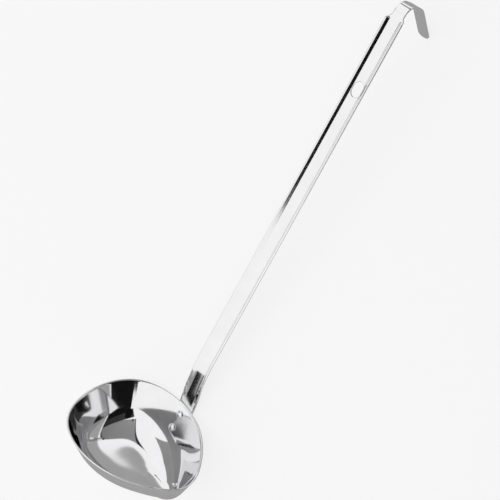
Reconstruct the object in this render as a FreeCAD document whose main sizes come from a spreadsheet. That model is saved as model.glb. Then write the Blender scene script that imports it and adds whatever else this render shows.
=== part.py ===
import FreeCAD, Part
import math
import os

import Sketcher

# Ladle with a pouring lip on one side, pressed from stainless steel sheet.
#
# The pieces are drawn in the ladle's own frame, in millimetres: the origin is the middle of
# the bowl's mouth, +X points away from the handle, +Y points to the pouring lip and +Z points
# out of the mouth. At the end the pieces are laid down together, as the ladle comes to rest
# on its bowl and its hook, with +Z up and the origin under the middle of the whole.

SIZES = {
    "lip_reach": (40.8, "mouth's middle to the pouring lip, level with the mouth"),
    "back_reach": (41.9, "mouth's middle to the edge opposite the lip"),
    "mouth_width": (70.8, "widest measure across the mouth, in line with the handle"),
    "widest_back": (10.0, "how far the widest line lies behind the mouth's middle"),
    "bowl_depth": (26.0, "mouth to the underside of the bowl"),
    "wall": (1.0, "thickness of the bowl's sheet"),
    "lip_dip": (5.3, "how far the rim drops at the lip"),
    "dip_start": (12.0, "where the rim starts to drop, ahead of the mouth's middle"),
    "strip": (1.0, "thickness of the handle's sheet"),
    "handle_width": (11.0, "width over the two side walls of the handle"),
    "floor_width": (6.0, "width of the flat floor between the side walls"),
    "wall_slope": (38.0, "angle between a side wall and the floor, in degrees"),
    "tab_width": (11.5, "width of the flattened end that is riveted to the bowl"),
    "tab_drop": (17.5, "how far the riveted end reaches below the mouth"),
    "tab_rounding": (4.5, "rounding of the riveted end's corners"),
    "neck_length": (28.4, "mouth to the handle's bend"),
    "neck_lean": (13.4, "how far the neck leans back, in degrees"),
    "shaft_length": (219.9, "handle's bend to the top of the shoulders"),
    "shaft_lean": (23.6, "how far the shaft leans back, in degrees"),
    "bend_radius": (60.0, "radius of the handle's bend"),
    "bend_lead": (3.0, "straight part of the channel below the bend"),
    "shoulder_drop": (3.0, "height of the slanting shoulders beside the hook"),
    "hook_rise": (0.8, "straight part of the hook above the shoulders"),
    "crown_radius": (7.5, "radius of the hook's first bend"),
    "crown_turn": (90.0, "turn of the hook's first bend, in degrees"),
    "bridge_length": (5.0, "straight part between the hook's bends"),
    "heel_radius": (10.0, "radius of the hook's second bend"),
    "heel_turn": (29.6, "turn of the hook's second bend, in degrees"),
    "leg_length": (24.0, "straight end of the hook"),
    "leg_rounding": (3.0, "rounding of the corners at the hook's end"),
    "slot_width": (5.8, "width of the hanging slot"),
    "slot_length": (8.8, "length of the hanging slot"),
    "slot_drop": (39.0, "top of the shoulders to the middle of the hanging slot"),
    "shank_diameter": (3.0, "diameter of a rivet's shank"),
    "head_diameter": (4.8, "diameter of a rivet's two heads"),
    "head_height": (1.3, "height of a rivet's domed head, inside the bowl"),
    "tail_height": (0.9, "height of a rivet's flatter head, behind the handle"),
    "upper_rivet_drop": (5.2, "mouth to the upper rivet"),
    "lower_rivet_drop": (13.0, "mouth to the lower rivet"),
    "seat_gap": (0.05, "clearance between faces that are pressed together"),
    "head_gap": (0.17, "clearance under a flat head, where the wall curves under it"),
    "hole_gap": (0.1, "clearance round a shank in its hole"),
}

doc = FreeCAD.newDocument("ladle")
sheet = doc.addObject("Spreadsheet::Sheet", "Sizes")
for row, (alias, (value, meaning)) in enumerate(SIZES.items(), start=1):
    sheet.set("A%d" % row, alias)
    sheet.set("B%d" % row, str(value))
    sheet.set("C%d" % row, meaning)
    sheet.setAlias("B%d" % row, alias)
doc.recompute()


def sized(formula):
    """A formula with each <name> written as that name's cell in the sheet."""
    return formula.replace("<", "Sizes.").replace(">", "")


def worth(formula):
    """What a formula comes to with the sheet's present sizes."""
    result = sheet.evalExpression(sized(formula))
    return float(getattr(result, "Value", result))


def bind(target, formulas):
    """Ties properties of an object to the sheet, by {property: formula}."""
    for name, formula in formulas.items():
        target.setExpression(name, sized(formula))


def new_body(label):
    body = doc.addObject("PartDesign::Body", label)
    body.Label = label
    return body


def attach(feature, body, role, base=("0", "0", "0"), axis=None, angle="0"):
    """Seats a feature on one of its body's origin planes, moved and turned by formulas."""
    plane = next(item for item in body.Origin.OriginFeatures if item.Role == role)
    feature.AttachmentSupport = [(plane, "")]
    feature.MapMode = "FlatFace"
    if axis is not None:
        turn = FreeCAD.Rotation(FreeCAD.Vector(*axis), 1)
        feature.AttachmentOffset = FreeCAD.Placement(FreeCAD.Vector(), turn)
        bind(feature, {"AttachmentOffset.Rotation.Angle": angle})
    bind(feature, {"AttachmentOffset.Base." + way: base[i] for i, way in enumerate("xyz")})


def add_sketch(body, name, role, **seat):
    sketch = body.newObject("Sketcher::SketchObject", name)
    attach(sketch, body, role, **seat)
    return sketch


def constrain(sketch, label, formula, kind, *where):
    """Adds a dimension to a sketch, under a name, and ties it to the sheet."""
    value = worth(formula)
    if kind == "Angle":
        value = math.radians(value)
    number = sketch.addConstraint(Sketcher.Constraint(kind, *where, value))
    sketch.renameConstraint(number, label)
    bind(sketch, {"Constraints." + label: formula})


def arc_between(start, end, radius):
    """The shorter arc from start to end, its middle to the left of the way from one to the
    other for a positive radius (counterclockwise) and to the right for a negative one."""
    way = end - start
    half = way.Length / 2
    rise = math.sqrt(max(radius * radius - half * half, 0.0))
    left = FreeCAD.Vector(-way.y, way.x, 0).normalize()
    centre = start + way * 0.5 + left * math.copysign(rise, radius)
    first, last = (start, end) if radius > 0 else (end, start)
    angles = [math.atan2(p.y - centre.y, p.x - centre.x) for p in (first, last)]
    circle = Part.Circle(centre, FreeCAD.Vector(0, 0, 1), abs(radius))
    return Part.ArcOfCircle(circle, *angles)


def closed_outline(sketch, corners):
    """Draws a closed outline through named corners, each held at two distances from the
    sketch's origin. A corner is (name, x, y), or (name, x, y, radius, side) where an arc
    leads on to the next one, with its middle on the left (side 1) or the right (side -1)."""
    spots = [FreeCAD.Vector(worth(corner[1]), worth(corner[2]), 0) for corner in corners]
    ends = []
    for i, corner in enumerate(corners):
        start, end = spots[i], spots[(i + 1) % len(spots)]
        if len(corner) == 3:
            index = sketch.addGeometry(Part.LineSegment(start, end))
            ends.append((index, 1, 2))
        else:
            side = corner[4]
            index = sketch.addGeometry(arc_between(start, end, side * worth(corner[3])))
            ends.append((index, 1, 2) if side > 0 else (index, 2, 1))
            constrain(sketch, corner[0] + "_r", corner[3], "Radius", index)
    for i, corner in enumerate(corners):
        index, first, last = ends[i]
        following, following_first, _ = ends[(i + 1) % len(ends)]
        sketch.addConstraint(
            Sketcher.Constraint("Coincident", index, last, following, following_first))
        constrain(sketch, corner[0] + "_x", corner[1], "DistanceX", -1, 1, index, first)
        constrain(sketch, corner[0] + "_y", corner[2], "DistanceY", -1, 1, index, first)


def bent_line(sketch, start, heading, lead, bends):
    """Draws a straight lead and then, for each bend, a tangent arc that turns left and a
    tangent line. A bend is (name, radius, turn, length of the line after it)."""
    spot = FreeCAD.Vector(worth(start[0]), worth(start[1]), 0)
    facing = worth(heading)

    def ahead(angle, length):
        angle = math.radians(angle)
        return FreeCAD.Vector(math.cos(angle), math.sin(angle), 0) * length

    end = spot + ahead(facing, worth(lead))
    line = sketch.addGeometry(Part.LineSegment(spot, end))
    constrain(sketch, "start_x", start[0], "DistanceX", -1, 1, line, 1)
    constrain(sketch, "start_y", start[1], "DistanceY", -1, 1, line, 1)
    constrain(sketch, "heading", heading, "Angle", line)
    constrain(sketch, "lead", lead, "Distance", line)
    for name, radius, turn, length in bends:
        centre = end + ahead(facing + 90, worth(radius))
        facing += worth(turn)
        after = centre + ahead(facing - 90, worth(radius))
        arc = sketch.addGeometry(arc_between(end, after, worth(radius)))
        sketch.addConstraint(Sketcher.Constraint("Tangent", line, 2, arc, 1))
        constrain(sketch, name + "_radius", radius, "Radius", arc)
        constrain(sketch, name + "_turn", turn, "Angle", arc)
        end = after + ahead(facing, worth(length))
        line = sketch.addGeometry(Part.LineSegment(after, end))
        sketch.addConstraint(Sketcher.Constraint("Tangent", arc, 2, line, 1))
        constrain(sketch, name + "_after", length, "Distance", line)


# Bowl: one pressed sheet. Two halves of ellipsoids share the widest section across the
# mouth, a short round one behind it and a long one that runs out to the pouring lip.

bowl = new_body("bowl")
HALVES = {"back": ("<back_reach> - <widest_back>", "180"),
          "front": ("<lip_reach> + <widest_back>", "0")}


def half_bowl(kind, name, reach, turned, inset):
    """The lower half of an ellipsoid, cut once more across the widest line."""
    half = bowl.newObject("PartDesign::%sEllipsoid" % kind, name)
    attach(half, bowl, "XY_Plane", base=("0", "-<widest_back>", "0"), axis=(0, 0, 1), angle=turned)
    half.Angle1 = -90
    half.Angle2 = 0
    half.Angle3 = 180
    bind(half, {"Radius1": "<bowl_depth> - %s" % inset,
                "Radius2": "<mouth_width> / 2 - %s" % inset,
                "Radius3": "%s - %s" % (reach, inset)})


for side, (reach, turned) in HALVES.items():
    half_bowl("Additive", "outside_" + side, reach, turned, "0")
for side, (reach, turned) in HALVES.items():
    half_bowl("Subtractive", "inside_" + side, reach, turned, "<wall>")
doc.recompute()

DIP_END = "<lip_reach> + <wall>"
DIP_RADIUS = "((<lip_reach> - <dip_start>)^2 + <lip_dip>^2) / (2 * <lip_dip>)"
dip_line = add_sketch(bowl, "dip_line", "YZ_Plane")
closed_outline(dip_line, [
    ("start", "<dip_start>", "0"),
    ("above_start", "<dip_start>", "<wall>"),
    ("above_lip", DIP_END, "<wall>"),
    ("at_lip", DIP_END,
     "sqrt((%s)^2 - (%s - <dip_start>)^2) - %s" % (DIP_RADIUS, DIP_END, DIP_RADIUS),
     DIP_RADIUS, 1),
])
dip = bowl.newObject("PartDesign::Pocket", "dip")
dip.Profile = dip_line
dip.Midplane = True
bind(dip, {"Length": "2 * <mouth_width>"})
doc.recompute()

# Rivet places: straight below the mouth's middle line, square to the wall there. The wall's
# slope comes from the ellipsoid, whose half measures are A across, C along and B down.

A = "(<mouth_width> / 2)"
B = "<bowl_depth>"
C = "(<lip_reach> + <widest_back>)"
RIVET_DROPS = {"upper": "<upper_rivet_drop>", "lower": "<lower_rivet_drop>"}


def wall_seat(drop):
    """Placement on the outside of the wall, with its Z axis pointing into the bowl."""
    part_left = "sqrt(1 - (<widest_back> / %s)^2 - (%s / %s)^2)" % (C, drop, B)
    inward_x = "%s / %s" % (part_left, A)
    inward_y = "-<widest_back> / %s^2" % C
    inward_z = "%s / %s^2" % (drop, B)
    spot = "vector(-%s * %s; 0; -%s)" % (A, part_left, drop)
    flat = "sqrt((%s)^2 + (%s)^2)" % (inward_x, inward_y)
    turn = "rotation(vector(-(%s); %s; 0); atan2(%s; %s))" % (inward_y, inward_x, flat, inward_z)
    return "placement(%s; %s)" % (spot, turn)


def drill_rivet_holes(body):
    for place, drop in RIVET_DROPS.items():
        circle = body.newObject("Sketcher::SketchObject", "%s_%s_hole_line" % (body.Label, place))
        attach(circle, body, "XY_Plane")
        bind(circle, {"AttachmentOffset": wall_seat(drop)})
        ring = Part.Circle(FreeCAD.Vector(), FreeCAD.Vector(0, 0, 1), worth("<shank_diameter> / 2"))
        index = circle.addGeometry(ring)
        circle.addConstraint(Sketcher.Constraint("Coincident", index, 3, -1, 1))
        constrain(circle, "radius", "<shank_diameter> / 2 + <hole_gap>", "Radius", index)
        hole = body.newObject("PartDesign::Pocket", "%s_%s_hole" % (body.Label, place))
        hole.Profile = circle
        hole.Midplane = True
        bind(hole, {"Length": "6 * (<wall> + <strip>)"})


drill_rivet_holes(bowl)

# Handle: one strip of sheet, pressed into a shallow channel along the shaft, opened out flat
# down the neck, shaped to the bowl's outside at the bottom and bent into a hook at the top.
# Its side line is the floor's front face, and the sheet lies behind it.

handle = new_body("handle")

# Channel's cross-section. The side walls rise towards the front and lean outwards.
WALL_RISE = ("((<handle_width> - <floor_width>) / 2 - <strip> * sin(<wall_slope>))"
             " * tan(<wall_slope>)")
FOLD_SHIFT = "<strip> * tan(<wall_slope> / 2)"
CHANNEL_SIDE = [
    ("fold", "<floor_width> / 2", "0"),
    ("lip", "<handle_width> / 2 - <strip> * sin(<wall_slope>)", WALL_RISE),
    ("lip_back", "<handle_width> / 2", "%s - <strip> * cos(<wall_slope>)" % WALL_RISE),
    ("fold_back", "<floor_width> / 2 + " + FOLD_SHIFT, "-<strip>"),
]


def both_sides(side):
    """Mirrors the right-hand corners of a section to the left, in order round it."""
    right = [("right_" + name, across, up) for name, across, up in side]
    left = [("left_" + name, "-(%s)" % across, up) for name, across, up in reversed(side)]
    return right + left


# Points of the side line: foot at the mouth's level, bend, and top of the shoulders.
FOOT_X = "-(%s * sqrt(1 - (<widest_back> / %s)^2) + <seat_gap>)" % (A, C)
BEND_X = "%s - <neck_length> * sin(<neck_lean>)" % FOOT_X
BEND_Z = "<neck_length> * cos(<neck_lean>)"
TOP_X = "%s - <shaft_length> * sin(<shaft_lean>)" % BEND_X
TOP_Z = "%s + <shaft_length> * cos(<shaft_lean>)" % BEND_Z
BEND_RUN = "<bend_radius> * tan((<shaft_lean> - <neck_lean>) / 2)"
LEAD_START = "(<neck_length> - %s - <bend_lead>)" % BEND_RUN
START_X = "%s - %s * sin(<neck_lean>)" % (FOOT_X, LEAD_START)
START_Z = "%s * cos(<neck_lean>)" % LEAD_START


def square_to_line(name, x, z, lean, corners):
    """Section across the side line, its Y axis pointing out of the handle's front."""
    section = add_sketch(handle, name, "YZ_Plane", base=("0", z, x), axis=(1, 0, 0),
                         angle="90 - %s" % lean)
    closed_outline(section, corners)
    return section


def pipe(name, section, line):
    result = handle.newObject("PartDesign::AdditivePipe", name)
    result.Profile = section
    result.Spine = line
    return result


channel = square_to_line("channel", START_X, START_Z, "<neck_lean>", both_sides(CHANNEL_SIDE))
shaft_line = add_sketch(handle, "shaft_line", "XZ_Plane")
bent_line(shaft_line, (START_X, START_Z), "90 + <neck_lean>", "<bend_lead>", [
    ("bend", "<bend_radius>", "<shaft_lean> - <neck_lean>", "<shaft_length> - " + BEND_RUN),
])
pipe("shaft", channel, shaft_line)


# The neck runs from the channel to a straight cut along the wall at the mouth's level.
def foot_corner(name, across, back):
    """Corner on the bowl's outline at the mouth, grown by the seat's gap and a distance."""
    growth = "<seat_gap> + %s" % back
    return (name, "-(%s + %s) * sqrt(1 - ((%s + <widest_back>) / (%s + %s))^2)"
            % (A, growth, across, C, growth), across)


HALF_FLOOR = "<floor_width> / 2"
HALF_TAB = "<tab_width> / 2"
foot = add_sketch(handle, "foot", "XY_Plane")
closed_outline(foot, [
    foot_corner("right_fold", HALF_FLOOR, "0"),
    foot_corner("right_lip", HALF_TAB, "0"),
    foot_corner("right_lip_back", HALF_TAB, "<strip>"),
    foot_corner("right_fold_back", HALF_FLOOR, "<strip>"),
    foot_corner("left_fold_back", "-%s" % HALF_FLOOR, "<strip>"),
    foot_corner("left_lip_back", "-%s" % HALF_TAB, "<strip>"),
    foot_corner("left_lip", "-%s" % HALF_TAB, "0"),
    foot_corner("left_fold", "-%s" % HALF_FLOOR, "0"),
])
neck_top = square_to_line("neck_top", START_X, START_Z, "<neck_lean>", both_sides(CHANNEL_SIDE))
neck = handle.newObject("PartDesign::AdditiveLoft", "neck")
neck.Profile = neck_top
neck.Sections = [foot]
neck.Ruled = True

# The riveted end is a zone of the bowl's own outside, one sheet thick, cut to a tongue.


def quarter_zone(kind, name, growth):
    """Quarter of the ellipsoid on the handle's side of the lip, grown by a distance."""
    zone = handle.newObject("PartDesign::%sEllipsoid" % kind, name)
    attach(zone, handle, "XY_Plane", base=("0", "-<widest_back>", "0"), axis=(0, 0, 1), angle="90")
    zone.Angle1 = -90
    zone.Angle2 = 0
    zone.Angle3 = 90
    bind(zone, {"Radius1": "%s + %s" % (B, growth),
                "Radius2": "%s + %s" % (C, growth),
                "Radius3": "%s + %s" % (A, growth)})


quarter_zone("Additive", "zone", "<seat_gap> + <strip>")
quarter_zone("Subtractive", "zone_hollow", "<seat_gap>")

BEYOND = "2 * " + C
tongue_line = add_sketch(handle, "tongue_line", "YZ_Plane")
closed_outline(tongue_line, [
    ("right_top", HALF_TAB, "0"),
    ("outer_right_top", BEYOND, "0"),
    ("outer_right", BEYOND, "-" + BEYOND),
    ("outer_left", "-" + BEYOND, "-" + BEYOND),
    ("outer_left_top", "-" + BEYOND, "0"),
    ("left_top", "-" + HALF_TAB, "0"),
    ("left_round", "-" + HALF_TAB, "-<tab_drop> + <tab_rounding>", "<tab_rounding>", 1),
    ("left_end", "-%s + <tab_rounding>" % HALF_TAB, "-<tab_drop>"),
    ("right_end", "%s - <tab_rounding>" % HALF_TAB, "-<tab_drop>", "<tab_rounding>", 1),
    ("right_round", HALF_TAB, "-<tab_drop> + <tab_rounding>"),
])
tongue = handle.newObject("PartDesign::Pocket", "tongue")
tongue.Profile = tongue_line
tongue.Midplane = True
bind(tongue, {"Length": "4 * %s" % A})
doc.recompute()

# Hook: the floor runs on as a strip as wide as its back, bent back twice.
HALF_HOOK = "(<floor_width> / 2 + %s)" % FOLD_SHIFT
strip_section = square_to_line("strip_section", TOP_X, TOP_Z, "<shaft_lean>", [
    ("right_front", HALF_HOOK, "0"),
    ("right_back", HALF_HOOK, "-<strip>"),
    ("left_back", "-" + HALF_HOOK, "-<strip>"),
    ("left_front", "-" + HALF_HOOK, "0"),
])
hook_line = add_sketch(handle, "hook_line", "XZ_Plane")
bent_line(hook_line, (TOP_X, TOP_Z), "90 + <shaft_lean>", "<hook_rise>", [
    ("crown", "<crown_radius>", "<crown_turn>", "<bridge_length>"),
    ("heel", "<heel_radius>", "<heel_turn>", "<leg_length>"),
])
pipe("hook", strip_section, hook_line)


def front_view(name, outline):
    """Cuts through the shaft, drawn on its floor with the shoulders' top as origin."""
    view = add_sketch(handle, name + "_line", "YZ_Plane", base=("0", TOP_Z, TOP_X),
                      axis=(1, 0, 0), angle="-<shaft_lean>")
    closed_outline(view, outline)
    cut = handle.newObject("PartDesign::Pocket", name)
    cut.Profile = view
    cut.Midplane = True
    bind(cut, {"Length": "4 * (<strip> + %s)" % WALL_RISE})


for way, name in (("", "right_shoulder"), ("-", "left_shoulder")):
    edge = "%s<handle_width> / 2" % way
    outside = "%s(<handle_width> / 2 + <strip>)" % way
    front_view(name, [
        ("inner", way + HALF_HOOK, "0"),
        ("edge", edge, "-<shoulder_drop>"),
        ("outer", outside, "-<shoulder_drop>"),
        ("outer_top", outside, "<strip>"),
        ("inner_top", way + HALF_HOOK, "<strip>"),
    ])

SLOT_END = "<slot_width> / 2"
SLOT_RUN = "(<slot_length> - <slot_width>) / 2"
front_view("slot", [
    ("right_low", SLOT_END, "-<slot_drop> - " + SLOT_RUN),
    ("right_high", SLOT_END, "-<slot_drop> + " + SLOT_RUN, SLOT_END, 1),
    ("top", "0", "-<slot_drop> + <slot_length> / 2", SLOT_END, 1),
    ("left_high", "-" + SLOT_END, "-<slot_drop> + " + SLOT_RUN),
    ("left_low", "-" + SLOT_END, "-<slot_drop> - " + SLOT_RUN, SLOT_END, 1),
    ("bottom", "0", "-<slot_drop> - <slot_length> / 2", SLOT_END, 1),
])
drill_rivet_holes(handle)
doc.recompute()


def round_leg_end():
    """Rounds the two short edges at the hook's free end, the ones one sheet long there."""
    whole = handle.Tip
    back = min(vertex.X for vertex in whole.Shape.Vertexes)
    end = next(vertex.Point for vertex in whole.Shape.Vertexes if vertex.X < back + 1e-6)
    chosen = [
        "Edge%d" % number for number, edge in enumerate(whole.Shape.Edges, start=1)
        if abs(edge.Length - worth("<strip>")) < 1e-4
        and (edge.CenterOfMass - end).Length < worth("2 * %s + <strip>" % HALF_HOOK)
    ]
    rounding = handle.newObject("PartDesign::Fillet", "leg_end")
    rounding.Base = (whole, chosen)
    bind(rounding, {"Radius": "<leg_rounding>"})


round_leg_end()

# Rivets: two of one kind, each a shank with a domed head in the bowl and a flatter head
# behind the handle.


def rivet(place, drop):
    body = new_body("rivet_" + place)
    head_seat = "<wall> + <head_gap>"
    tail_seat = "-(2 * <seat_gap> + <strip>)"
    half_head = "<head_diameter> / 2"
    half_shank = "<shank_diameter> / 2"

    def dome_radius(height):
        return "((%s)^2 + (%s)^2) / (2 * %s)" % (half_head, height, height)

    profile = add_sketch(body, place + "_profile", "XZ_Plane")
    closed_outline(profile, [
        ("tail_top", "0", "%s - <tail_height>" % tail_seat, dome_radius("<tail_height>"), 1),
        ("tail_rim", half_head, tail_seat),
        ("tail_neck", half_shank, tail_seat),
        ("head_neck", half_shank, head_seat),
        ("head_rim", half_head, head_seat, dome_radius("<head_height>"), 1),
        ("head_top", "0", "%s + <head_height>" % head_seat),
    ])
    turned = body.newObject("PartDesign::Revolution", place + "_turned")
    turned.Profile = profile
    turned.ReferenceAxis = (profile, ["V_Axis"])
    turned.Angle = 360
    bind(body, {"Placement": wall_seat(drop)})
    return body


rivets = doc.addObject("Part::Compound", "rivets")
rivets.Label = "rivets"
rivets.Links = [rivet(place, drop) for place, drop in RIVET_DROPS.items()]
doc.recompute()

# Laying down. The ladle rests on its hook and on the bowl with the riveted end. For each
# roll to the side there is one nod back at which both ends touch the ground, and the ladle
# settles at the roll where its weight then lies lowest.

PIECES = [bowl, handle, rivets]
MESH_STEP = 0.2
weight = sum(piece.Shape.Volume for piece in PIECES)
middle = FreeCAD.Vector()
for piece in PIECES:
    for solid in piece.Shape.Solids:
        middle += solid.CenterOfMass * (solid.Volume / weight)
points = [point for piece in PIECES for point in piece.Shape.tessellate(MESH_STEP)[0]]
half_way = worth(TOP_Z) / 2
hook_end = [point for point in points if point.z > half_way]
bowl_end = [point for point in points if point.z <= half_way]


def down_at(nod, roll):
    """The direction of the ground, in the ladle's own frame."""
    nod, roll = math.radians(nod), math.radians(roll)
    return FreeCAD.Vector(-math.sin(nod) * math.cos(roll), math.sin(roll),
                          -math.cos(nod) * math.cos(roll))


def reach(group, down):
    return max(point.dot(down) for point in group)


def touching_nod(roll):
    """The nod at which the hook and the bowl are level, by halving."""
    upright, flat = 30.0, 89.0
    while flat - upright > 1e-4:
        nod = (upright + flat) / 2
        down = down_at(nod, roll)
        if reach(hook_end, down) < reach(bowl_end, down):
            upright = nod
        else:
            flat = nod
    return (upright + flat) / 2


def weight_height(roll):
    down = down_at(touching_nod(roll), roll)
    return reach(bowl_end, down) - middle.dot(down)


left_roll, right_roll = -30.0, 30.0
while right_roll - left_roll > 0.01:
    third = (right_roll - left_roll) / 3
    if weight_height(left_roll + third) < weight_height(right_roll - third):
        right_roll -= third
    else:
        left_roll += third
roll = (left_roll + right_roll) / 2
down = down_at(touching_nod(roll), roll)

up = down * -1
shaft_down = FreeCAD.Vector(math.sin(math.radians(worth("<shaft_lean>"))), 0,
                            -math.cos(math.radians(worth("<shaft_lean>"))))
ahead = (shaft_down - up * shaft_down.dot(up)).normalize()
beside = up.cross(ahead)
lie_down = FreeCAD.Rotation(ahead, beside, up, "XYZ").inverted()


def laid_box(shape):
    """The box round a shape once it is turned into its rest."""
    turned = shape.copy()
    turned.Placement = FreeCAD.Placement(FreeCAD.Vector(), lie_down).multiply(turned.Placement)
    return turned.optimalBoundingBox(False, False)


box = laid_box(PIECES[0].Shape)
for piece in PIECES[1:]:
    box.add(laid_box(piece.Shape))
to_origin = FreeCAD.Vector(-box.Center.x, -box.Center.y, -box.ZMin)
for piece in PIECES:
    piece.Placement = FreeCAD.Placement(to_origin, lie_down)
doc.recompute()

for item in doc.Objects:
    if {"Invalid", "Error"} & set(item.State):
        raise RuntimeError("%s failed: %s" % (item.Name, item.State))
for piece, solids in zip(PIECES, (1, 1, len(RIVET_DROPS))):
    if piece.Shape.isNull() or not piece.Shape.isValid() or len(piece.Shape.Solids) != solids:
        raise RuntimeError("%s is not a valid piece" % piece.Label)

os.makedirs("parts", exist_ok=True)
for piece in PIECES:
    piece.Shape.exportStep("parts/%s.step" % piece.Label)
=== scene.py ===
import bmesh
import bpy
import numpy as np
from mathutils import Matrix, Vector


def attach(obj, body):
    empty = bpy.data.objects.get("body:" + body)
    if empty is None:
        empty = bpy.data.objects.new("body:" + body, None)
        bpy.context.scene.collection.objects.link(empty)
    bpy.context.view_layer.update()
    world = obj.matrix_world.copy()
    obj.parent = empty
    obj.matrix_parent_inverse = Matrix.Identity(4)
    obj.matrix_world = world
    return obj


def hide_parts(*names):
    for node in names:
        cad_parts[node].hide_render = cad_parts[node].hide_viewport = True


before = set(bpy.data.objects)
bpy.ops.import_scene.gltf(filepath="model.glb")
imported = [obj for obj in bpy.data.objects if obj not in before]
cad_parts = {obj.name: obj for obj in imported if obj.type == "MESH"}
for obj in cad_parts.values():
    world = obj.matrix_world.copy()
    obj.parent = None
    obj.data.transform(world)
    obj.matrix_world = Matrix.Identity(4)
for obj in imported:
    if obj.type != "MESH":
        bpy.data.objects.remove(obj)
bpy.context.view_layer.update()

# Bowl: one sheet of stainless steel, pressed to an egg-shaped bowl with a sloping wall and a
# slightly domed bottom, and polished inside and out. Its rim is cut level, apart from the
# pouring lip on one side, and deburred.

# Everything is drawn in the ladle's own frame, as if it were held upright: the origin is the
# middle of the mouth, +x points away from the handle, +y to the pouring lip and +z out of the
# mouth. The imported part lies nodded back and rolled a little, as it comes to rest.
MM = 0.001
MOUTH_MIDDLE = np.array([122.412, 0.550, 32.391]) * MM
NOD = np.radians(59.125)
ROLL = np.radians(-1.937)
SHAFT_LEAN = np.radians(23.6)


def laid_down():
    """The row frame's axes in the ladle's own frame, as rows. Up is turned by the nod and the
    roll, ahead is the shaft's downward direction made level, and beside is square to both."""
    up = np.array([np.sin(NOD) * np.cos(ROLL), -np.sin(ROLL), np.cos(NOD) * np.cos(ROLL)])
    ahead = np.array([np.sin(SHAFT_LEAN), 0.0, -np.cos(SHAFT_LEAN)])
    ahead -= up * (up @ ahead)
    ahead /= np.linalg.norm(ahead)
    return np.array([ahead, np.cross(up, ahead), up])


LAID = laid_down()

HALF_MOUTH = 35.5 * MM
BACK_REACH = 41.9 * MM
LIP_REACH = 42.5 * MM
LIP_RADIUS = 22.4 * MM
BACK_FILL = 1.5 * MM
BACK_MIDDLE = BACK_REACH - HALF_MOUTH
LIP_MIDDLE = LIP_REACH - LIP_RADIUS
SIDE_RADIUS = ((HALF_MOUTH**2 - LIP_RADIUS**2 + (LIP_MIDDLE + BACK_MIDDLE) ** 2)
               / (2 * (HALF_MOUTH - LIP_RADIUS)))
SIDE_MIDDLE = SIDE_RADIUS - HALF_MOUTH
BOWL_DEPTH = 26.0 * MM
BOWL_WALL = 1.0 * MM
WALL_LEAN = np.radians(30.0)
WALL_FALL = 15.0 * MM
BOTTOM_MIDDLE = np.array([0.0, 1.0 * MM])
DIP_START = 12.0 * MM
DIP_DEPTH = 5.0 * MM
STEEPER_AHEAD, STEEPER_BESIDE, STEEPER_LIP = np.radians([6.0, 1.6, 10.0])


def unit(vectors):
    """Each vector divided by its own length."""
    return vectors / np.linalg.norm(vectors, axis=-1, keepdims=True)


def mouth(turn):
    """The mouth's outline where it faces turn, and the way it faces. It is made of four tangent
    arcs: half a circle at the back, filled out a little between its end and its sides, a long
    arc down each side and a smaller one round the pouring lip."""
    facing = np.stack([np.cos(turn), np.sin(turn)], axis=-1)
    along = np.stack([-np.sin(turn), np.cos(turn)], axis=-1)
    lip = facing[..., 1] > (LIP_MIDDLE + BACK_MIDDLE) / (SIDE_RADIUS - LIP_RADIUS)
    side = (facing[..., 1] >= 0) & ~lip
    middle = np.stack([np.where(side, -np.sign(facing[..., 0]) * SIDE_MIDDLE, 0.0),
                       np.where(lip, LIP_MIDDLE, -BACK_MIDDLE)], axis=-1)
    radius = np.where(lip, LIP_RADIUS, np.where(side, SIDE_RADIUS, HALF_MOUTH))
    fill = BACK_FILL * (facing[..., 1] < 0)
    out, beside = radius + fill * np.sin(2 * turn) ** 2, 2 * fill * np.sin(4 * turn)
    return middle + facing * out[..., None] + along * beside[..., None], facing


def wall_steepness(turn):
    """The wall's angle from level. It is even round the handle's side and steeper away from
    it, and most of all under the pouring lip."""
    x, y = np.cos(turn), np.sin(turn)
    ahead = np.clip(x - y, 0, None) ** 2 / 2
    beside = np.clip(x + y, 0, None) ** 2 / 2
    lip = np.clip(2 * y - 1, 0, 1) ** 2
    more = STEEPER_AHEAD * ahead + STEEPER_BESIDE * beside + STEEPER_LIP * lip
    return np.pi / 2 - WALL_LEAN + more


def outside(turn, way):
    """Point of the bowl's outside. The way runs from 0 at the mouth down the straight wall to
    1, and from there in to the middle of the bottom at 2. The height over the bottom is a power
    of what is left of that way, and the power is the one that goes on with the wall's slope."""
    outline, facing = mouth(turn)
    steep = np.tan(wall_steepness(turn))
    depth = WALL_FALL * np.clip(way, None, 1)
    left = np.clip(2 - way, 0, 1)
    arm = outline - facing * (depth / steep)[..., None] - BOTTOM_MIDDLE
    rise = BOWL_DEPTH - WALL_FALL
    power = np.sum(arm * facing, axis=-1) * steep / rise
    height = np.where(way > 1, rise * left**power - BOWL_DEPTH, -depth)
    return np.concatenate([BOTTOM_MIDDLE + arm * left[..., None], height[..., None]], axis=-1)


def outward(turn, way):
    """Unit vector out of the bowl's wall, by differences, straight down in the middle."""
    tiny = 1e-4
    round_it = outside(turn + tiny, way) - outside(turn - tiny, way)
    down_it = outside(turn, way + tiny) - outside(turn, way - tiny)
    square = np.cross(down_it, round_it)
    square[np.broadcast_to(way, square.shape[:-1]) > 2 - 1e-6] = (0.0, 0.0, -1.0)
    return unit(square)


def rim_height(y):
    """Level back from the lip, then an arc of a circle that falls to the lip."""
    run = LIP_REACH - DIP_START
    radius = (run**2 + DIP_DEPTH**2) / (2 * DIP_DEPTH)
    return np.sqrt(radius**2 - np.clip(y - DIP_START, 0, radius) ** 2) - radius


def rim_way(turn):
    """How far down the wall the rim lies, by repeated correction."""
    way = np.zeros_like(turn)
    for _ in range(12):
        way = -rim_height(outside(turn, way)[..., 1]) / WALL_FALL
    return way


EDGE_BULGE = 0.7


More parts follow.
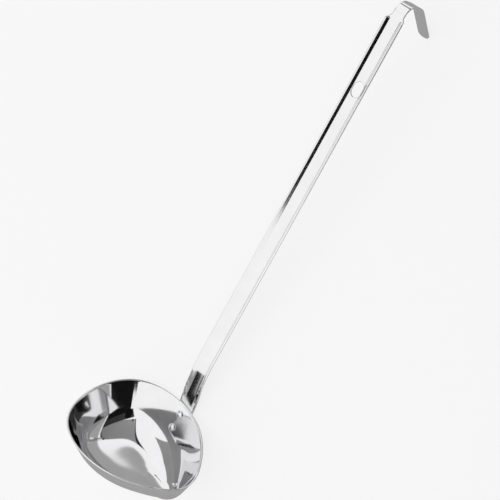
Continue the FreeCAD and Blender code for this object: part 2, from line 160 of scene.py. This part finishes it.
def half_round(inner, outer, outward, steps):
    """Points over a sheet's edge from inner to outer: half an ellipse about the middle. It
    stands out by a share of half the sheet's thickness, about a third of the whole."""
    angle = np.linspace(0, np.pi, steps)[:, None]
    middle, arm = (inner + outer) / 2, (inner - outer) / 2
    bulge = outward * np.linalg.norm(arm, axis=-1, keepdims=True) * EDGE_BULGE
    return middle[:, None] + arm[:, None] * np.cos(angle) + bulge[:, None] * np.sin(angle)


def patch(points):
    """One grid of points as vertices and the quads between neighbours, ready to be joined."""
    rows, columns = points.shape[:2]
    first = np.arange(rows * columns).reshape(rows, columns)
    quads = np.stack([first[:-1, :-1], first[:-1, 1:], first[1:, 1:], first[1:, :-1]], axis=-1)
    return points.reshape(-1, 3), quads.reshape(-1, 4)


WELD = 0.001 * MM


def piece(name, patches, material, replaced, sharp=35.0):
    """An object from patches in the ladle's own frame: laid down, put in one mesh, welded where
    they meet, shaded smooth between sharp edges, and declared to the frame."""
    corners, quads, count = [], [], 0
    for points, faces in patches:
        corners.append(points @ LAID.T + MOUTH_MIDDLE)
        quads.append(faces + count)
        count += len(points)
    mesh = bpy.data.meshes.new(name)
    mesh.from_pydata(np.concatenate(corners).tolist(), [], np.concatenate(quads).tolist())
    body = bmesh.new()
    body.from_mesh(mesh)
    bmesh.ops.remove_doubles(body, verts=body.verts, dist=WELD)
    bmesh.ops.dissolve_degenerate(body, edges=body.edges, dist=WELD)
    bmesh.ops.recalc_face_normals(body, faces=body.faces)
    body.to_mesh(mesh)
    body.free()
    mesh.shade_smooth()
    mesh.set_sharp_from_angle(angle=np.radians(sharp))
    mesh.materials.append(material)
    made = bpy.data.objects.new(name, mesh)
    bpy.context.scene.collection.objects.link(made)
    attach(made, "root")
    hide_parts(*replaced)


class Socket:
    """An output of a node. Arithmetic with numbers and other sockets adds Math nodes."""

    def __init__(self, tree, output=None):
        self.tree, self.output = tree, output

    def node(self, kind, settings=None, inputs=None, output=0):
        """Adds a node: its settings first, then its inputs, as values or links. A setting
        named stops holds a colour ramp's (place, colour) pairs."""
        made = self.tree.nodes.new(kind)
        for name, value in (settings or {}).items():
            if name == "stops":
                ramp = made.color_ramp.elements
                while len(ramp) < len(value):
                    ramp.new(0.5)
                for element, (place, colour) in zip(ramp, value):
                    element.position, element.color = place, colour
            else:
                setattr(made, name, value)
        for name, value in (inputs or {}).items():
            if isinstance(value, Socket):
                self.tree.links.new(value.output, made.inputs[name])
            else:
                made.inputs[name].default_value = value
        return Socket(self.tree, made.outputs[output] if made.outputs else None)

    def math(self, operation, first, second):
        return self.node("ShaderNodeMath", {"operation": operation}, {0: first, 1: second})

    def __add__(self, other):
        return self.math("ADD", self, other)

    __radd__ = __add__

    def __mul__(self, other):
        return self.math("MULTIPLY", self, other)

    __rmul__ = __mul__

    def __sub__(self, other):
        return self.math("SUBTRACT", self, other)

    def __rsub__(self, other):
        return self.math("SUBTRACT", other, self)


def turned_to(direction, across):
    """Euler angles that bring a direction in the row frame to x and one beside it to y."""
    first = Vector(direction).normalized()
    third = first.cross(Vector(across)).normalized()
    return Matrix((first, third.cross(first), third)).to_euler()


# The steel's polish lines and wipe marks: how many noise cells go to a metre, how far the
# lines are drawn out, and how much each changes the roughness and the colour.
LINE_CELLS, LINE_DRAWN, LINE_ROUGH, LINE_RELIEF = 6000.0, 0.03, 0.10, 0.002 * MM
WIPE_CELLS, WIPE_ROUGH, WIPE_SHADE = 90.0, 0.08, 0.95
WIPE_START, WIPE_END = 0.30, 0.70


def steel(name, colour, roughness, grain, across, scratch):
    """Polished stainless steel. Fine lines of the last polishing run along grain, in the row
    frame: noise that is drawn out that way varies the roughness and gives a slight relief.
    A broad cloud of wipe marks changes the roughness and the colour a little."""
    material = bpy.data.materials.new(name)
    material.use_nodes = True
    tree = material.node_tree
    tree.nodes.clear()
    blank = Socket(tree)
    place = blank.node("ShaderNodeTexCoord", output="Object")
    turned = blank.node("ShaderNodeMapping", {"vector_type": "POINT"},
                        {"Vector": place, "Rotation": turned_to(grain, across)})
    drawn = blank.node("ShaderNodeMapping", None,
                       {"Vector": turned, "Scale": (LINE_DRAWN, 1.0, 1.0)})
    lines = blank.node("ShaderNodeTexNoise", None,
                       {"Vector": drawn, "Scale": LINE_CELLS, "Detail": 3.0, "Roughness": 0.6})
    wipes = blank.node("ShaderNodeTexNoise", None,
                       {"Vector": turned, "Scale": WIPE_CELLS, "Detail": 4.0, "Roughness": 0.55})
    rough = roughness + (lines - 0.5) * (scratch * LINE_ROUGH) + (wipes - 0.5) * WIPE_ROUGH
    shaded = tuple(part * WIPE_SHADE for part in colour)
    tint = blank.node("ShaderNodeValToRGB", {"stops": [
        (WIPE_START, shaded + (1.0,)),
        (WIPE_END, colour + (1.0,)),
    ]}, {"Fac": wipes})
    relief = blank.node("ShaderNodeBump", None,
                        {"Height": lines, "Strength": scratch, "Distance": LINE_RELIEF})
    shader = blank.node("ShaderNodeBsdfPrincipled", None, {
        "Base Color": tint, "Metallic": 1.0, "Roughness": rough, "Normal": relief})
    blank.node("ShaderNodeOutputMaterial", None, {"Surface": shader})
    return material


BOWL_TURNS = 288
WALL_ROWS, BOTTOM_ROWS, BOTTOM_SPREAD = 25, 45, 1.5
RIM_STEPS = 9
RIM_ROUNDING = 0.35 * MM


def bowl_patches():
    """The outside from the middle of the bottom to the rim, the rounded edge, and the inside
    back down. The inside lies one wall in from the outside, square to it."""
    turn = np.linspace(0, 2 * np.pi, BOWL_TURNS + 1)[:, None]
    lower = 1 + np.sin(np.linspace(np.pi / 2, 0, BOTTOM_ROWS)) ** BOTTOM_SPREAD

    def grid(top):
        wall = 1 + (top - 1) * np.linspace(0, 1, WALL_ROWS)[1:]
        return np.concatenate([np.broadcast_to(lower, (len(turn), len(lower))), wall], axis=1)

    top = rim_way(turn) + RIM_ROUNDING / WALL_FALL
    outer_way = grid(top)
    inner_way = grid(top + BOWL_WALL * np.cos(wall_steepness(turn)) / WALL_FALL)
    outer = outside(turn, outer_way)
    inner = outside(turn, inner_way) - outward(turn, inner_way) * BOWL_WALL
    upward = unit(outer[:, -1] - outer[:, -2] + inner[:, -1] - inner[:, -2])
    rim = half_round(outer[:, -1], inner[:, -1], upward, RIM_STEPS)
    return [patch(outer), patch(inner), patch(rim)]


# The polish lines of the bowl and of the rivets run across the mouth.
MIRROR_COLOUR, MIRROR_ROUGHNESS, MIRROR_SCRATCH = (0.87, 0.87, 0.88), 0.06, 0.3
MIRROR_GRAIN, MIRROR_ACROSS = LAID @ (1.0, 0.3, 0.0), LAID @ (0.0, 0.0, 1.0)
SMOOTH_BELOW = 60.0

BOWL_STEEL = steel("bowl_steel", MIRROR_COLOUR, MIRROR_ROUGHNESS, MIRROR_GRAIN,
                   MIRROR_ACROSS, MIRROR_SCRATCH)
piece("bowl_shell", bowl_patches(), BOWL_STEEL, ["bowl"], SMOOTH_BELOW)

# Handle: one strip of stainless steel sheet. Its lower end is flattened to a tongue that lies
# against the bowl, the shaft is pressed into a shallow channel with a hanging slot, and at
# the top the floor of the channel runs on as a strip that is bent back twice to a hook.

STRIP = 1.0 * MM
SEAT_GAP = 0.05 * MM
FLOOR_HALF = 3.0 * MM
WALL_SLOPE = np.radians(38.0)
FOLD_RADIUS = 1.0 * MM
CHANNEL_HALF = 5.39 * MM
HOOK_HALF = 3.34 * MM
TAB_HALF = 5.75 * MM
TAB_RUN = 17.5 * MM / np.cos(WALL_LEAN)
TAB_ROUNDING = 4.5 * MM
NECK_LEAN = np.radians(13.4)
NECK_LENGTH = 28.4 * MM
FOOT_BEND = 4.0 * MM
HUG_FADE = 12.0 * MM
SHAFT_BEND = 60.0 * MM
SHAFT_LENGTH = 221.7 * MM
UNFOLDED = 1.0 * MM
FOLDED = 20.0 * MM
SHOULDER_DROP = 3.0 * MM
HOOK_RISE = 0.8 * MM
CROWN_RADIUS, CROWN_TURN = 7.5 * MM, np.radians(90.0)
BRIDGE = 5.0 * MM
HEEL_RADIUS, HEEL_TURN = 10.0 * MM, np.radians(29.6)
LEG, LEG_ROUNDING = 24.0 * MM, 3.0 * MM
SLOT_HALF_WIDTH, SLOT_HALF_LENGTH = 2.9 * MM, 4.4 * MM
SLOT_DROP = 42.3 * MM
EDGE_BREAK = 0.15 * MM

# Distances along the strip's front face, from the mouth's level upwards.
FOOT_RUN = FOOT_BEND * np.tan((WALL_LEAN - NECK_LEAN) / 2)
SHAFT_RUN = SHAFT_BEND * np.tan((SHAFT_LEAN - NECK_LEAN) / 2)
BENDS = np.cumsum([
    -FOOT_RUN,
    FOOT_BEND * (WALL_LEAN - NECK_LEAN),
    NECK_LENGTH - FOOT_RUN - SHAFT_RUN,
    SHAFT_BEND * (SHAFT_LEAN - NECK_LEAN),
    SHAFT_LENGTH - SHAFT_RUN + HOOK_RISE,
    CROWN_RADIUS * CROWN_TURN,
    BRIDGE,
    HEEL_RADIUS * HEEL_TURN,
    LEG,
])
LEANS = np.cumsum([WALL_LEAN, NECK_LEAN - WALL_LEAN, 0, SHAFT_LEAN - NECK_LEAN, 0,
                   CROWN_TURN, 0, HEEL_TURN, 0])
SHOULDER_TOP = BENDS[4] - HOOK_RISE
SLOT_AT = SHOULDER_TOP - SLOT_DROP


def smooth(x):
    """Rises from 0 to 1 with level ends: 3 x squared less 2 x cubed."""
    x = np.clip(x, 0, 1)
    return x * x * (3 - 2 * x)


def side_line(s):
    """Place and lean of the strip's front face, s along it. The lean changes evenly through
    each bend, and its sine and cosine are summed up along the strip in short steps."""
    step = 0.02 * MM
    fine = np.arange(-TAB_RUN, BENDS[-1] + step, step)
    lean = np.interp(fine + step / 2, BENDS, LEANS)
    x = TAB_RUN * np.sin(WALL_LEAN) - np.concatenate([[0], np.cumsum(np.sin(lean)) * step])
    z = np.concatenate([[0], np.cumsum(np.cos(lean)) * step]) - TAB_RUN * np.cos(WALL_LEAN)
    ends = np.append(fine, fine[-1] + step)
    return np.interp(s, ends, x), np.interp(s, ends, z), np.interp(s, BENDS, LEANS)


def wall_behind(y, z, gap=SEAT_GAP):
    """How far the bowl's outside, grown by a gap, lies behind the mouth's middle. Here it is a
    cone about the middle of the mouth's side arc."""
    radius = SIDE_RADIUS + gap / np.cos(WALL_LEAN) + z * np.tan(WALL_LEAN)
    return np.sqrt(radius**2 - (y + BACK_MIDDLE) ** 2) - SIDE_MIDDLE


def rounded_outline(corners):
    """Half the strip's outline: rows of distance along, half width, and the outward direction's
    two parts. Corners are (along, half width, radius), and each inner one gets an arc."""
    rows = []
    for before, (s, t, radius), after in zip(corners, corners[1:], corners[2:]):
        here = np.array([s, t])
        way_in, way_out = unit(here - np.array(before[:2])), unit(np.array(after[:2]) - here)
        bulging = -np.sign(way_in[0] * way_out[1] - way_in[1] * way_out[0])
        first = bulging * np.array([-way_in[1], way_in[0]])
        last = bulging * np.array([-way_out[1], way_out[0]])
        turn = np.arccos(np.clip(first @ last, -1, 1))
        share = np.linspace(0, 1, 3 + int(turn * 7))[:, None]
        spoke = (first * np.sin((1 - share) * turn) + last * np.sin(share * turn)) / np.sin(turn)
        centre = here + unit(way_out - way_in) * radius / np.cos(turn / 2)
        rows.append(np.hstack([centre + radius * spoke, bulging * spoke]))
    return np.concatenate(rows)


OUTLINE = rounded_outline([
    (-TAB_RUN, 0.0, 0.0),
    (-TAB_RUN, TAB_HALF, TAB_ROUNDING),
    (UNFOLDED, TAB_HALF, 30.0 * MM),
    (FOLDED, CHANNEL_HALF, 30.0 * MM),
    (SHOULDER_TOP - SHOULDER_DROP, CHANNEL_HALF, 0.7 * MM),
    (SHOULDER_TOP, HOOK_HALF, 0.9 * MM),
    (BENDS[-1], HOOK_HALF, LEG_ROUNDING),
    (BENDS[-1], 0.0, 0.0),
])
FOLD_START = FLOOR_HALF - FOLD_RADIUS * np.tan(WALL_SLOPE / 2)
FOLD_END = FOLD_START + FOLD_RADIUS * WALL_SLOPE


def section(s, t):
    """Cross-section of the channel, t across from the middle along the sheet: level floor, an
    arc at the fold, straight side wall. Gives the way across and the rise to the front. The
    walls' slope grows from the neck's foot up and goes out again at the shoulders."""
    grown = smooth((s - UNFOLDED) / (FOLDED - UNFOLDED))
    left = 1 - smooth((s - SHOULDER_TOP + SHOULDER_DROP) / (SHOULDER_DROP / 2))
    bend = np.maximum(WALL_SLOPE * grown * left, 1e-5) / (FOLD_END - FOLD_START)
    t, side = np.abs(t), np.sign(t)
    in_fold = np.clip(t - FOLD_START, 0, FOLD_END - FOLD_START) * bend
    beyond = np.maximum(t - FOLD_END, 0)
    across = np.minimum(t, FOLD_START) + np.sin(in_fold) / bend + beyond * np.cos(in_fold)
    return side * across, (1 - np.cos(in_fold)) / bend + beyond * np.sin(in_fold)


def strip_point(s, t):
    """Point of the strip's front face: the cross-section at s is carried along the side line.
    Below the mouth, and fading out above it, the strip follows the outside of the bowl."""
    s, t = np.broadcast_arrays(s, t)
    x, z, lean = side_line(s)
    across, rise = section(s, t)
    hugging = 1 - smooth(s / HUG_FADE)
    below = np.minimum(z, 0.0)
    x = x - wall_behind(0.0, 0.0) - hugging * (wall_behind(across, below) - wall_behind(0.0, below))
    return np.stack([x + rise * np.cos(lean), across, z + rise * np.sin(lean)], axis=-1)


def strip_frame(s, t):
    """Point of the front face with the ways along, across and out of it, by differences."""
    tiny = 0.01 * MM
    along = unit(strip_point(s + tiny, t) - strip_point(s - tiny, t))
    across = unit(strip_point(s, t + tiny) - strip_point(s, t - tiny))
    return strip_point(s, t), along, across, unit(np.cross(across, along))


def slot_outline(grown):
    """Half the hanging slot's outline, grown outwards: distance along and half width."""
    angle = np.linspace(-np.pi / 2, np.pi / 2, 17)
    radius = SLOT_HALF_WIDTH + grown
    middle = SLOT_AT + np.sign(angle) * (SLOT_HALF_LENGTH - SLOT_HALF_WIDTH)
    return middle + radius * np.sin(angle), radius * np.cos(angle)


# Steps between the rows of points along the strip, and where the shaft's rows end and the
# closer ones begin below the shoulders.
TONGUE_STEP, SHAFT_STEP, NECK_STEP, CROWN_STEP, LEG_STEP = (
    0.6 * MM, 3.0 * MM, 0.8 * MM, 0.3 * MM, 2.0 * MM)
SHAFT_ROWS_END = SHOULDER_TOP - 6.0 * MM
CROWN_ROWS_START, CROWN_ROWS_END = SHOULDER_TOP - 4.0 * MM, BENDS[7] + 1.0 * MM
FLOOR_COLUMNS, FOLD_COLUMNS, WALL_COLUMNS = 5, 6, 5
FOLD_SHARE = 0.8
SLOT_SPREAD = 0.02 * MM
EDGE_STEPS = 7


def handle_patches():
    """Front and back faces in two halves that part at the slot, the rounded edges along the
    sides and over the two ends, and the slot's wall with its broken edges."""
    slot_s, slot_t = slot_outline(EDGE_BREAK)
    inner_s, inner_t = slot_outline(0.0)
    s = np.unique(np.round(np.concatenate([
        OUTLINE[:, 0], slot_s, inner_s,
        np.arange(-TAB_RUN, FOLDED, TONGUE_STEP),
        np.arange(FOLDED, SHAFT_ROWS_END, SHAFT_STEP),
        np.arange(BENDS[2], BENDS[3], NECK_STEP),
        np.arange(CROWN_ROWS_START, CROWN_ROWS_END, CROWN_STEP),
        np.arange(BENDS[7], BENDS[8], LEG_STEP),
    ]), 8))
    s = s[(s >= OUTLINE[0, 0]) & (s <= OUTLINE[-1, 0])]
    half = np.interp(s, OUTLINE[:, 0], OUTLINE[:, 1])
    out_s = np.interp(s, OUTLINE[:, 0], OUTLINE[:, 2])[:, None]
    out_t = np.interp(s, OUTLINE[:, 0], OUTLINE[:, 3])[:, None]
    gap = np.interp(s, slot_s, slot_t, left=0.0, right=0.0)
    gap[gap < 1e-9] = 0.0
    columns = np.concatenate([
        np.linspace(0, FOLD_START, FLOOR_COLUMNS),
        np.linspace(FOLD_START, FOLD_END, FOLD_COLUMNS)[1:],
    ])
    fit = np.minimum(1, FOLD_SHARE * half / FOLD_END)[:, None]
    near = np.maximum(columns * fit, gap[:, None] + np.arange(len(columns)) * SLOT_SPREAD)
    far = near[:, -1:] + (half[:, None] - near[:, -1:]) * np.linspace(0, 1, WALL_COLUMNS)[1:]
    t = np.hstack([near, far])
    patches = []
    for side in (1, -1):
        point, along, across, front = strip_frame(s[:, None], side * t)
        back = point - front * STRIP
        patches += [patch(point), patch(back)]
        outward = along[:, -1] * out_s + across[:, -1] * out_t * side
        patches.append(patch(half_round(point[:, -1], back[:, -1], outward, EDGE_STEPS)))
        for row, way in ((0, -1), (-1, 1)):
            patches.append(patch(half_round(point[row], back[row], along[row] * way, EDGE_STEPS)))
        rows = (s >= slot_s[0] - 1e-8) & (s <= slot_s[-1] + 1e-8)
        wall_s = np.interp(s[rows], slot_s, inner_s)
        wall_t = np.interp(s[rows], slot_s, inner_t)
        wall, _, _, wall_front = strip_frame(wall_s, side * wall_t)
        patches.append(patch(np.stack([
            point[rows, 0],
            wall - wall_front * EDGE_BREAK,
            wall - wall_front * (STRIP - EDGE_BREAK),
            back[rows, 0],
        ], axis=1)))
    return patches


SHAFT_COLOUR, SHAFT_ROUGHNESS, SHAFT_SCRATCH = (0.88, 0.88, 0.88), 0.10, 0.5
HANDLE_STEEL = steel("handle_steel", SHAFT_COLOUR, SHAFT_ROUGHNESS,
                     LAID @ (-0.4, 0.0, 0.92), LAID @ (0.0, 1.0, 0.0), SHAFT_SCRATCH)
piece("handle_strip", handle_patches(), HANDLE_STEEL, ["handle"])

# Rivets: two of steel, one above the other, which hold the handle to the bowl. Each has a low
# domed head inside the bowl and a flatter one behind the handle.

HEAD_HALF = 2.4 * MM
SHANK_HALF = 1.5 * MM
HEAD_HEIGHT, HEAD_SEAT = 1.3 * MM, BOWL_WALL + 0.06 * MM
TAIL_HEIGHT, TAIL_SEAT = 0.9 * MM, -(2 * SEAT_GAP + STRIP)
RIVET_DROPS = (5.2 * MM, 13.0 * MM)
HEAD_FULLNESS, HEAD_ROWS, RIVET_TURNS = 0.8, 14, 48


def rivet_patch(drop):
    """A profile of radius and height turned round the rivet's axis, which stands square on the
    bowl's wall: quarter ellipses for the two heads and a straight shank between them."""
    angle = np.linspace(np.pi / 2, 0, HEAD_ROWS)
    dome = np.stack([HEAD_HALF * np.cos(angle) ** HEAD_FULLNESS, np.sin(angle)], axis=1)
    head = dome * (1, HEAD_HEIGHT) + (0, HEAD_SEAT)
    tail = dome[::-1] * (1, -TAIL_HEIGHT) + (0, TAIL_SEAT)
    shank = np.array([[SHANK_HALF, HEAD_SEAT], [SHANK_HALF, TAIL_SEAT]])
    radius, height = np.concatenate([head, shank, tail]).T
    spot = np.array([-wall_behind(0.0, -drop, 0.0), 0.0, -drop])
    tiny = 0.01 * MM
    slope_y = (wall_behind(tiny, -drop) - wall_behind(-tiny, -drop)) / (2 * tiny)
    slope_z = (wall_behind(0.0, tiny - drop) - wall_behind(0.0, -tiny - drop)) / (2 * tiny)
    axis = unit(np.array([1.0, slope_y, slope_z]))
    beside = unit(np.cross(axis, (0.0, 1.0, 0.0)))
    above = np.cross(axis, beside)
    turn = np.linspace(0, 2 * np.pi, RIVET_TURNS + 1)[:, None, None]
    ring = np.cos(turn) * beside + np.sin(turn) * above
    return patch(spot + ring * radius[:, None] + axis * height[:, None])


RIVET_STEEL = steel("rivet_steel", MIRROR_COLOUR, MIRROR_ROUGHNESS, MIRROR_GRAIN,
                    MIRROR_ACROSS, MIRROR_SCRATCH)
piece("rivet_pair", [rivet_patch(drop) for drop in RIVET_DROPS], RIVET_STEEL,
      ["rivets"], SMOOTH_BELOW)

# Studio: a pale floor, soft light from all sides, and the camera where the photograph's was.


def staged(name, corners, material):
    """A flat card through four corners in the row frame, which isn't part of the object."""
    mesh = bpy.data.meshes.new(name)
    mesh.from_pydata([tuple(corner) for corner in corners], [], [(0, 1, 2, 3)])
    mesh.materials.append(material)
    card = bpy.data.objects.new(name, mesh)
    bpy.context.scene.collection.objects.link(card)
    return card


STRAIGHT_SHARE = 0.8


def pale(name, level, shade, reflected_painted_shade, middle, reach):
    """Matt and pale. The camera sees most of it at its own level of brightness, and the rest
    as lit, which keeps the object's shadow. The metal sees it with painted shade: darker
    within reach of a middle, standing in for the shadowed floor under the ladle, and as
    bright as the studio beyond."""
    material = bpy.data.materials.new(name)
    material.use_nodes = True
    material.node_tree.nodes.clear()
    blank = Socket(material.node_tree)
    matt = blank.node("ShaderNodeBsdfDiffuse", None, {"Color": (shade, shade, shade, 1.0)})
    lit = blank.node("ShaderNodeEmission", None, {"Strength": level})
    place = blank.node("ShaderNodeTexCoord", output="Object")
    way = blank.node("ShaderNodeVectorMath", {"operation": "DISTANCE"},
                     {0: place, 1: middle}, output="Value")
    painted_shade_tone = blank.node("ShaderNodeMapRange", {"interpolation_type": "SMOOTHSTEP"}, {
        "Value": way, "From Min": reach[0], "From Max": reach[1],
        "To Min": reflected_painted_shade, "To Max": level})
    # Painted shade: the floor near the ladle shows in the metal as a darker emission, not as lit.
    painted_shade_emission = blank.node("ShaderNodeEmission", None, {"Color": painted_shade_tone})
    glossy = blank.node("ShaderNodeLightPath", output="Is Glossy Ray")
    direct = blank.node("ShaderNodeLightPath", output="Is Camera Ray")
    lower = blank.node("ShaderNodeMixShader", None, {0: glossy, 1: matt, 2: painted_shade_emission})
    mixed = blank.node("ShaderNodeMixShader", None, {0: direct * STRAIGHT_SHARE, 1: lower, 2: lit})
    blank.node("ShaderNodeOutputMaterial", None, {"Surface": mixed})
    return material


def dark(name, level):
    """A black card or curtain: almost no light comes back from it."""
    material = bpy.data.materials.new(name)
    material.use_nodes = True
    material.node_tree.nodes.clear()
    blank = Socket(material.node_tree)
    matt = blank.node("ShaderNodeBsdfDiffuse", None, {"Color": (level, level, level, 1.0)})
    blank.node("ShaderNodeOutputMaterial", None, {"Surface": matt})
    return material


FLOOR_HALF_SIDE = 3.0
# The third level is the painted shade that the metal sees in the floor near the ladle; the middle
# and reach below say where it lies.
FLOOR_LEVEL, FLOOR_SHADE, FLOOR_REFLECTED_PAINTED_SHADE = 1.0, 0.86, 0.38
PAINTED_SHADE_MIDDLE, PAINTED_SHADE_REACH = (0.12, 0.0, 0.0), (0.40, 0.50)
staged("floor", [(-FLOOR_HALF_SIDE, -FLOOR_HALF_SIDE, 0), (FLOOR_HALF_SIDE, -FLOOR_HALF_SIDE, 0),
                 (FLOOR_HALF_SIDE, FLOOR_HALF_SIDE, 0), (-FLOOR_HALF_SIDE, FLOOR_HALF_SIDE, 0)],
       pale("floor_white", FLOOR_LEVEL, FLOOR_SHADE, FLOOR_REFLECTED_PAINTED_SHADE, PAINTED_SHADE_MIDDLE,
            PAINTED_SHADE_REACH))

# The camera's place and directions were fitted to the photograph in the ladle's own frame.
CAMERA_AT = LAID @ (np.array([337.97, 280.82, 486.49]) * MM) + MOUTH_MIDDLE
CAMERA_AHEAD = LAID @ (-0.642732, -0.456663, -0.615105)
CAMERA_RIGHT = LAID @ (-0.686959, 0.698944, 0.198907)
camera_data = bpy.data.cameras.new("camera")
camera_data.lens = 83.46
camera_data.sensor_width = 36.0
camera_data.clip_start, camera_data.clip_end = 0.01, 50.0
camera = bpy.data.objects.new("camera", camera_data)
camera_up = np.cross(CAMERA_RIGHT, CAMERA_AHEAD)
turned = Matrix(np.stack([CAMERA_RIGHT, camera_up, -CAMERA_AHEAD], axis=1).tolist())
camera.matrix_world = Matrix.Translation(CAMERA_AT.tolist()) @ turned.to_4x4()
bpy.context.scene.collection.objects.link(camera)
bpy.context.scene.camera = camera


def card_through(name, corners, material):
    """A card through four corners in the ladle's own frame. The camera looks past it."""
    made = staged(name, [LAID @ corner + MOUTH_MIDDLE for corner in corners], material)
    made.visible_camera = False
    return made


def card_towards(name, distance, azimuths, elevations, material):
    """A card square to its middle direction, given as angles in the ladle's own frame: azimuth
    from +x round to +y, and elevation over the mouth's plane."""
    angles = np.radians([azimuths, elevations])
    half = np.tan((angles[:, 1] - angles[:, 0]) / 2) * distance
    turn, rise = angles.mean(axis=1)
    middle = np.array([np.cos(turn) * np.cos(rise), np.sin(turn) * np.cos(rise), np.sin(rise)])
    aside = np.array([-np.sin(turn), np.cos(turn), 0.0])
    over = np.cross(middle, aside)
    return card_through(name, [middle * distance + aside * half[0] * i + over * half[1] * j
                               for i, j in ((-1, -1), (1, -1), (1, 1), (-1, 1))], material)


BLACK, GREY, NEARLY_BLACK = (
    dark("card_black", 0.01), dark("card_grey", 0.42), dark("card_dark", 0.06))
CARDS_AWAY, CAMERA_AWAY = 1.3, 0.8

# Two dark cards, one above the other, for the patch on the bowl's far wall. One stands where
# the camera is, and a grey one is for the side by the handle.
card_towards("card_low", CARDS_AWAY, (54.0, 118.0), (4.0, 25.0), BLACK)
card_towards("card_flare", CARDS_AWAY, (46.0, 126.0), (25.0, 46.0), NEARLY_BLACK)
card_towards("card_camera", CAMERA_AWAY, (37.0, 42.0), (42.0, 52.0), BLACK)
card_towards("card_right", CARDS_AWAY, (-90.0, -47.0), (12.0, 48.0), GREY)

# A near card beside the shaft, which makes the black band along its left wall.
BESIDE_SHAFT = np.array([(0.243, 0.489, 0.135), (0.378, 0.371, 0.135),
                         (0.304, 0.386, 0.420), (0.169, 0.504, 0.420)])
card_through("card_side", BESIDE_SHAFT, BLACK)

# A grey panel high over the ladle between two dark bars, as (x, y) on one level.
PANEL_LEVEL = 1.3
PANEL = np.array([(-0.95, 1.75), (1.45, 0.75), (-0.61, -0.676), (-0.713, -0.10)])
BAR_HALF, BAR_BELOW = 0.025, 0.01


def on_level(spots, level):
    """Points from (x, y) pairs, all at one height over the mouth."""
    return np.column_stack([spots, np.full(len(spots), level)])


card_through("panel", on_level(PANEL, PANEL_LEVEL), GREY)
for name, first, last in (("left", PANEL[3], PANEL[0]), ("right", PANEL[2], PANEL[1])):
    way = unit(last - first)
    beside = np.array([-way[1], way[0]]) * BAR_HALF
    bar = np.array([first - beside, first + beside, last + beside, last - beside])
    card_through("bar_" + name, on_level(bar, PANEL_LEVEL - BAR_BELOW), BLACK)

SKY_LEVEL = 1.02
world = bpy.data.worlds.new("studio")
bpy.context.scene.world = world
world.use_nodes = True
world.node_tree.nodes.clear()
blank = Socket(world.node_tree)
sky = blank.node("ShaderNodeBackground", None,
                 {"Color": (1.0, 1.0, 1.0, 1.0), "Strength": SKY_LEVEL})
blank.node("ShaderNodeOutputWorld", None, {"Surface": sky})

bpy.context.scene.view_settings.view_transform = "Standard"
